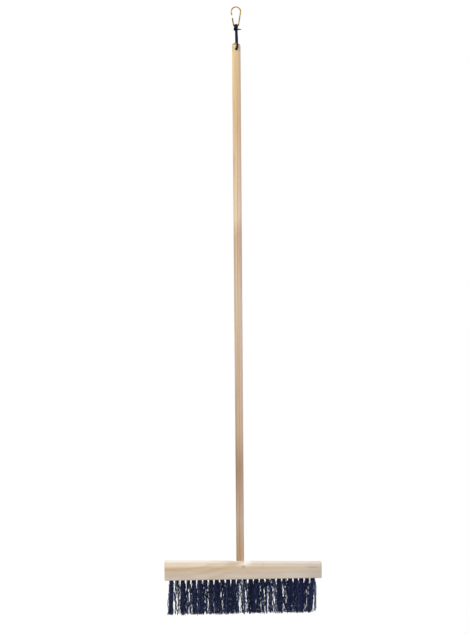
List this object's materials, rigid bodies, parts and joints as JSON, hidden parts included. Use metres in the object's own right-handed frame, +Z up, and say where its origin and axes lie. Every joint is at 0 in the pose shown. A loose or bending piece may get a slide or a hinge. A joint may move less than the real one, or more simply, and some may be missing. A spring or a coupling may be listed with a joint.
{
  "type": "push broom",
  "caption": "Push broom with a long round wooden handle, a wooden head and rows of dark tufts, hung by a knotted cord from an open wire hook.",
  "frame": {"origin": "inside top of the hook's upper bend, where it bears on a peg", "axes": "+Z up along the handle, +X along the head to the right, -Y towards the front"},
  "size_m": [0.3998, 0.06, 1.5501],
  "materials": {
    "brass_wire": "worn satin",
    "navy_cord": "waxed",
    "handle_wood": "bare, smooth",
    "block_wood": "bare, planed",
    "navy_bristle": "coarse fibre",
    "anchor_wire": "flat wire"
  },
  "bodies": {
    "hook": {"hook": "brass_wire"},
    "cord": {"hang_cord": "navy_cord", "cord_eye": "navy_cord", "cord_knot": "navy_cord", "cord_tail": "navy_cord"},
    "broom": {"handle": "handle_wood", "block": "block_wood", "bristle_row_1": "navy_bristle", "bristle_row_2": "navy_bristle", "bristle_row_3": "navy_bristle", "bristle_row_4": "navy_bristle", "bristle_row_5": "navy_bristle", "anchors_row_1": "anchor_wire", "anchors_row_2": "anchor_wire", "anchors_row_3": "anchor_wire", "anchors_row_4": "anchor_wire", "anchors_row_5": "anchor_wire"}
  },
  "joints": [
    {"name": "cord_swing", "type": "hinge", "parent": "hook", "child": "cord", "pos_m": [0, 0, -0.04925], "axis": [1, 0, 0], "range_deg": [-100, 100]},
    {"name": "broom_swing", "type": "hinge", "parent": "cord", "child": "broom", "pos_m": [0, 0, -0.10625], "axis": [0, 1, 0], "range_deg": [-150, 150]}
  ]
}
